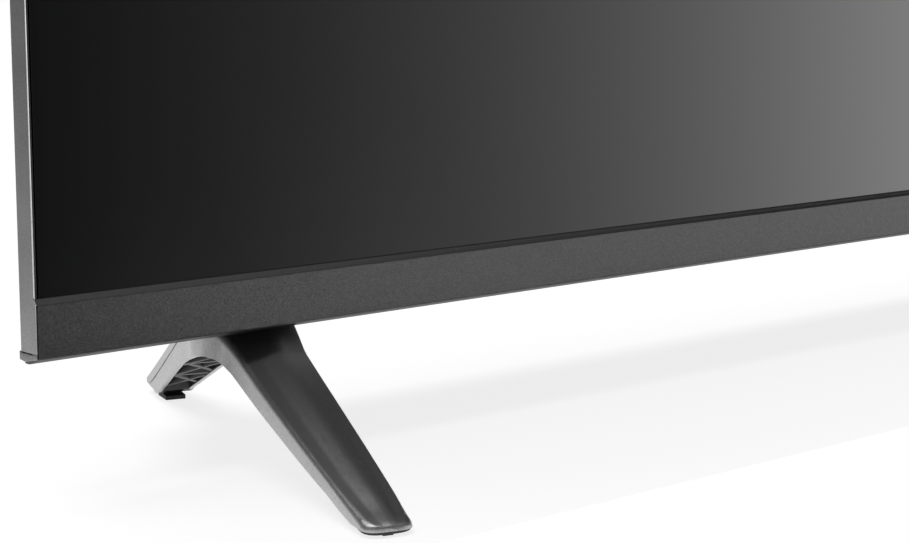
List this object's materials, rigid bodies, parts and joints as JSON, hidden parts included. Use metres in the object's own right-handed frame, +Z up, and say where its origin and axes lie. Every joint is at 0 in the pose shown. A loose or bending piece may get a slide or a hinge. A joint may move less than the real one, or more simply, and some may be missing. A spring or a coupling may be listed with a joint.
{
  "type": "flat screen television",
  "caption": "Thin-framed flat screen television with a dark screen, metal rim, plain chin and splayed feet; keys, sockets and wall mount bores on its back.",
  "frame": {"origin": "on the floor, under the middle of the set", "axes": "+X to the viewer's right, the screen faces -Y, +Z up"},
  "size_m": [0.957, 0.2392, 0.6116],
  "materials": {
    "screen_glass": "glossy, switched off",
    "amber_film": "amber film",
    "green_board": "lacquered board",
    "white_board": "white board",
    "tan_board": "paper board",
    "blue_board": "lacquered board",
    "white_sheet": "matt white",
    "clear_plastic": "clear",
    "black_plastic": "moulded, fine grain",
    "dark_steel": "coated pressed steel",
    "rim_metal": "bead blasted with a polished front edge",
    "lip_metal": "bead blasted",
    "chin_plastic": "metallic flake paint",
    "cap_plastic": "fine grain",
    "cover_plastic": "fine grain",
    "dark_screws": "blackened",
    "bright_steel": "plated",
    "dark_aluminium": "black anodised",
    "yellow_plastic": "taped winding",
    "capacitor_sleeve": "shrunk sleeve",
    "cable_plastic": "flexible",
    "brass": "turned",
    "cone_paper": "pressed paper",
    "rubber": "matt",
    "infrared_plastic": "dark red, clear to infrared",
    "key_plastic": "satin",
    "foot_plastic": "fine grain",
    "foot_shell": "fine grain, satin"
  },
  "bodies": {
    "television": {"lcd_cell": "screen_glass", "driver_flex_films": "amber_film", "source_board": "green_board", "optical_films": "white_sheet", "diffuser_plate": "white_sheet", "panel_frame": "black_plastic", "reflector_sheet": "white_sheet", "led_strips": "white_board", "led_lenses": "clear_plastic", "diffuser_supports": "white_sheet", "backlight_tray": "dark_steel", "left_rail": "rim_metal", "right_rail": "rim_metal", "top_rail": "rim_metal", "bottom_rail": "lip_metal", "chin_trim": "chin_plastic", "corner_caps": "cap_plastic", "rim_screws": "dark_screws", "rear_cover": "cover_plastic", "cover_screws": "dark_screws", "vesa_inserts": "bright_steel", "main_board": "green_board", "heatsinks": "dark_aluminium", "tuner": "bright_steel", "hdmi_ports": "bright_steel", "usb_ports": "bright_steel", "lan_port": "bright_steel", "audio_jack": "black_plastic", "power_board": "tan_board", "transformers": "yellow_plastic", "capacitors": "capacitor_sleeve", "mains_inlet": "black_plastic", "timing_board": "blue_board", "panel_ribbons": "cable_plastic", "board_standoffs": "brass", "board_screws": "bright_steel", "wire_harness": "cable_plastic", "speaker_boxes": "black_plastic", "speaker_drivers": "dark_steel", "speaker_surround_left": "rubber", "speaker_surround_right": "rubber", "ir_board": "green_board", "ir_window": "infrared_plastic", "key_board": "green_board", "foot_frame_left": "foot_plastic", "foot_frame_right": "foot_plastic", "foot_cover_left": "foot_shell", "foot_cover_right": "foot_shell", "foot_pads": "rubber", "foot_screws": "bright_steel", "foot_brackets": "bright_steel"},
    "power_key": {"key_power": "key_plastic"},
    "source_key": {"key_source": "key_plastic"},
    "menu_key": {"key_menu": "key_plastic"},
    "channel_up_key": {"key_channel_up": "key_plastic"},
    "channel_down_key": {"key_channel_down": "key_plastic"},
    "volume_up_key": {"key_volume_up": "key_plastic"},
    "volume_down_key": {"key_volume_down": "key_plastic"},
    "left_cone": {"speaker_cone_left": "cone_paper"},
    "right_cone": {"speaker_cone_right": "cone_paper"}
  },
  "joints": [
    {"name": "power_key_press", "type": "slide", "parent": "television", "child": "power_key", "axis": [0, -1, 0], "range_m": [0, 0.0005], "stiffness_N_per_m": 4000},
    {"name": "source_key_press", "type": "slide", "parent": "television", "child": "source_key", "axis": [0, -1, 0], "range_m": [0, 0.0005], "stiffness_N_per_m": 4000},
    {"name": "menu_key_press", "type": "slide", "parent": "television", "child": "menu_key", "axis": [0, -1, 0], "range_m": [0, 0.0005], "stiffness_N_per_m": 4000},
    {"name": "channel_up_key_press", "type": "slide", "parent": "television", "child": "channel_up_key", "axis": [0, -1, 0], "range_m": [0, 0.0005], "stiffness_N_per_m": 4000},
    {"name": "channel_down_key_press", "type": "slide", "parent": "television", "child": "channel_down_key", "axis": [0, -1, 0], "range_m": [0, 0.0005], "stiffness_N_per_m": 4000},
    {"name": "volume_up_key_press", "type": "slide", "parent": "television", "child": "volume_up_key", "axis": [0, -1, 0], "range_m": [0, 0.0005], "stiffness_N_per_m": 4000},
    {"name": "volume_down_key_press", "type": "slide", "parent": "television", "child": "volume_down_key", "axis": [0, -1, 0], "range_m": [0, 0.0005], "stiffness_N_per_m": 4000},
    {"name": "left_cone_travel", "type": "slide", "parent": "television", "child": "left_cone", "axis": [0, 0, 1], "range_m": [-0.001, 0.001], "stiffness_N_per_m": 1500, "deforming": ["speaker_surround_left"]},
    {"name": "right_cone_travel", "type": "slide", "parent": "television", "child": "right_cone", "axis": [0, 0, 1], "range_m": [-0.001, 0.001], "stiffness_N_per_m": 1500, "deforming": ["speaker_surround_right"]}
  ]
}
